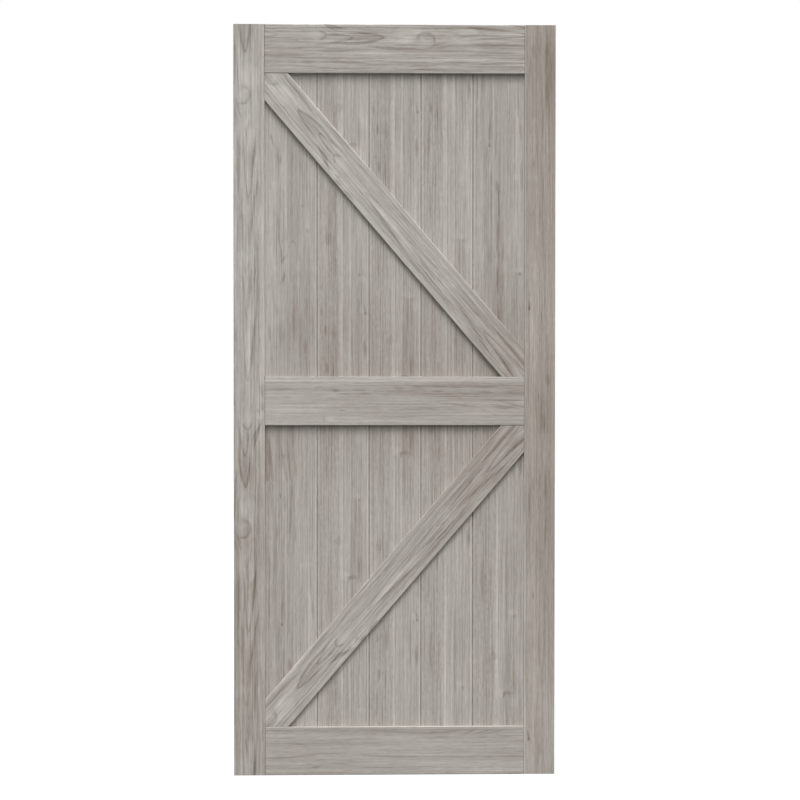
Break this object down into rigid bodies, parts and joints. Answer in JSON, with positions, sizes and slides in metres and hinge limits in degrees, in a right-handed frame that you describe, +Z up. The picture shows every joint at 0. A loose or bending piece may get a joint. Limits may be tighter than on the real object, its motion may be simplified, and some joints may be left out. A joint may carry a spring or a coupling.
{
  "type": "barn door",
  "caption": "Framed and braced plank door slab that hangs from a sliding track, with diagonal braces on both faces and a guide slot along its foot.",
  "frame": {"origin": "centre of the door's top edge, on the face that top hangers are screwed to", "axes": "+Z up, +X to the right seen from the front, the front faces -Y"},
  "size_m": [0.9144, 0.035, 2.1336],
  "materials": {
    "stile_wood": "satin",
    "rail_wood": "satin",
    "plank_wood": "satin",
    "brace_wood": "satin",
    "screw_steel": "zinc plated",
    "plug_plastic": "satin"
  },
  "bodies": {
    "root": {"left_stile": "stile_wood", "right_stile": "stile_wood", "top_rail": "rail_wood", "mid_rail": "rail_wood", "bottom_rail": "rail_wood", "upper_plank_1": "plank_wood", "upper_plank_2": "plank_wood", "upper_plank_3": "plank_wood", "upper_plank_4": "plank_wood", "upper_plank_5": "plank_wood", "lower_plank_1": "plank_wood", "lower_plank_2": "plank_wood", "lower_plank_3": "plank_wood", "lower_plank_4": "plank_wood", "lower_plank_5": "plank_wood", "upper_brace_front": "brace_wood", "lower_brace_front": "brace_wood", "upper_brace_back": "brace_wood", "lower_brace_back": "brace_wood", "left_frame_screws": "screw_steel", "right_frame_screws": "screw_steel", "left_cover_plugs": "plug_plastic", "right_cover_plugs": "plug_plastic"}
  },
  "joints": []
}
